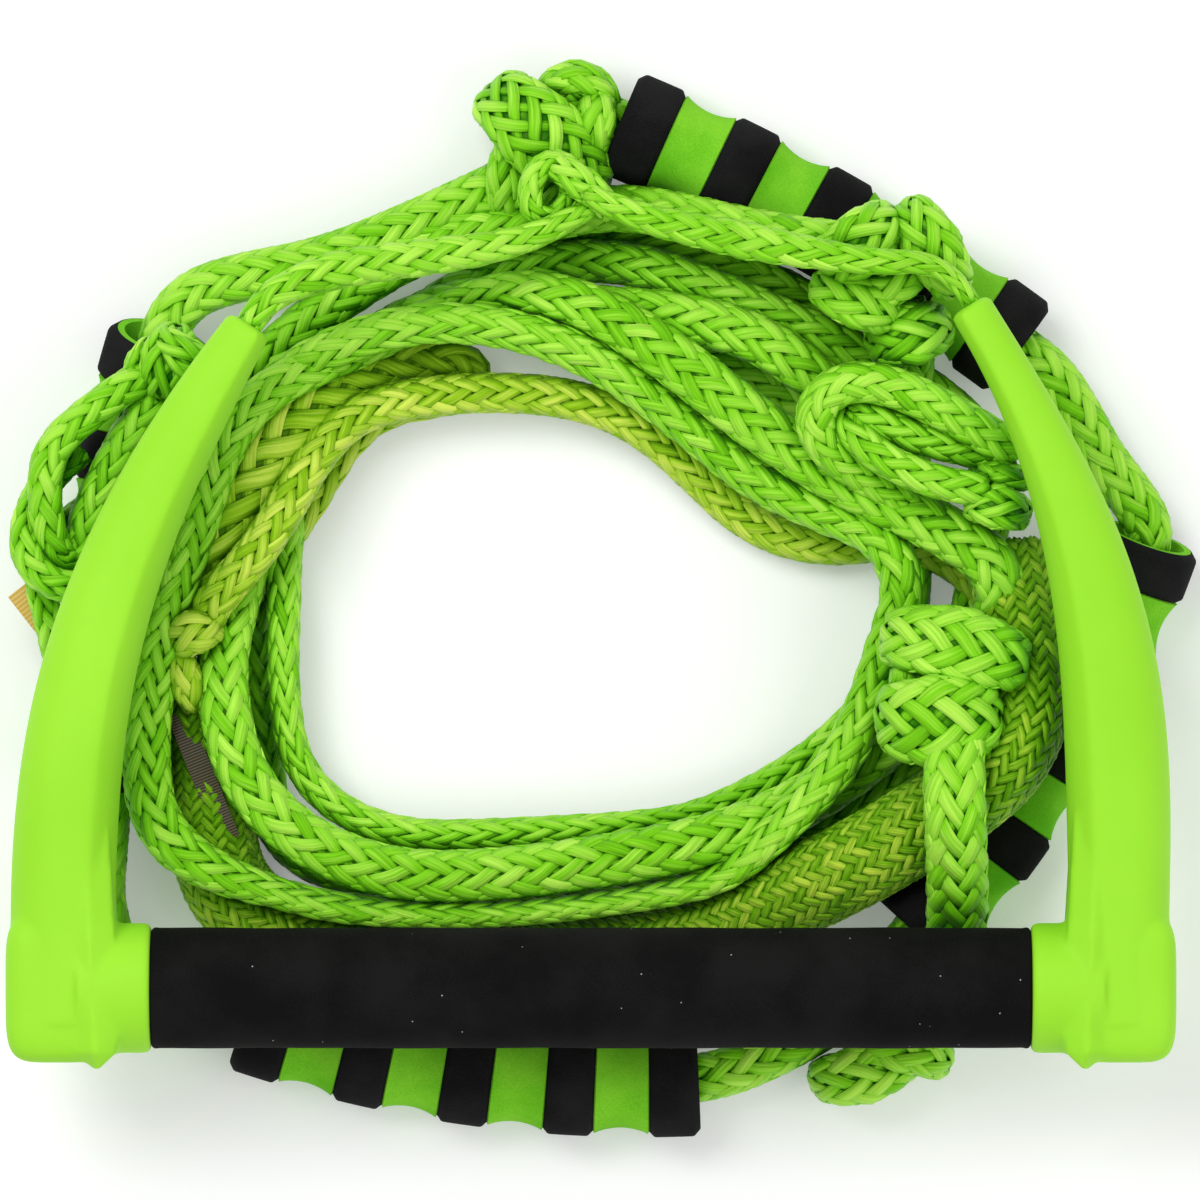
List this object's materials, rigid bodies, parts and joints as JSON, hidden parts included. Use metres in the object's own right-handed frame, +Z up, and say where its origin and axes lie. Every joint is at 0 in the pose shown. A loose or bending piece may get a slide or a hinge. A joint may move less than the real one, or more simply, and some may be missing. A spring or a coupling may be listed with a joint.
{
  "type": "tow rope handle",
  "caption": "Surf tow rope coiled flat: short padded handle with soft arms, bridle, foam floats, bungee section, knots and a boat-end loop.",
  "frame": {"origin": "middle of the grip, on its axis", "axes": "+X along the grip to the right arm, +Y from the grip to the arm tips, +Z up from the surface that the coil lies on, which is at z = -0.050 m"},
  "size_m": [0.2882, 0.2604, 0.0653],
  "materials": {
    "grip_foam": "matte suede-like EVA foam",
    "tube_metal": "satin anodised",
    "bush_plastic": "matte nylon",
    "arm_rubber": "soft satin moulded rubber",
    "rope_green": "satin braided fibre",
    "bungee_braid": "satin fine braid, yellower",
    "bungee_latex": "plain latex",
    "float_green": "matte closed-cell foam",
    "float_black": "matte closed-cell foam",
    "tag_dark": "woven label",
    "tag_yellow": "woven label"
  },
  "bodies": {
    "handle_and_rope": {"grip_sleeve": "grip_foam", "core_tube": "tube_metal", "tube_bush_left": "bush_plastic", "tube_bush_right": "bush_plastic", "arm_left": "arm_rubber", "arm_right": "arm_rubber", "bridle_inner": "rope_green", "bridle_leg_left": "rope_green", "bridle_leg_right": "rope_green", "bridle_loop": "rope_green", "bridle_knot": "rope_green", "float_rope": "rope_green", "stopper_knot_top": "rope_green", "end_knot": "rope_green", "bungee_sleeve": "bungee_braid", "bungee_core": "bungee_latex", "bungee_knot": "rope_green", "tail_rope": "rope_green", "main_line_coil": "rope_green", "bight_loop": "rope_green", "bight_knot": "rope_green", "boat_loop": "rope_green", "boat_loop_link": "rope_green", "boat_loop_knot": "rope_green", "splice_knot": "bungee_braid", "care_tag": "tag_dark", "size_tag": "tag_yellow"},
    "float_1": {"float_1_core": "float_green", "float_1_bands": "float_black"},
    "float_2": {"float_2_core": "float_green", "float_2_bands": "float_black"},
    "float_3": {"float_3_core": "float_green", "float_3_bands": "float_black"},
    "float_4": {"float_4_core": "float_green", "float_4_bands": "float_black"}
  },
  "joints": [
    {"name": "float_1_along_rope", "type": "hinge", "parent": "handle_and_rope", "child": "float_1", "pos_m": [-0.1649, -0.2067, -0.03675], "axis": [0, 0, 1], "range_deg": [-0.7, 0]},
    {"name": "float_2_along_rope", "type": "hinge", "parent": "handle_and_rope", "child": "float_2", "pos_m": [-0.1293, 0.2003, -0.03675], "axis": [0, 0, 1], "range_deg": [0, 0.5]},
    {"name": "float_3_along_rope", "type": "hinge", "parent": "handle_and_rope", "child": "float_3", "pos_m": [0.0125, 0.2758, -0.03675], "axis": [0, 0, 1], "range_deg": [-1, 2.2]},
    {"name": "float_4_along_rope", "type": "hinge", "parent": "handle_and_rope", "child": "float_4", "pos_m": [0.1923, 0.0661, -0.03675], "axis": [0, 0, 1], "range_deg": [0, 3]}
  ]
}
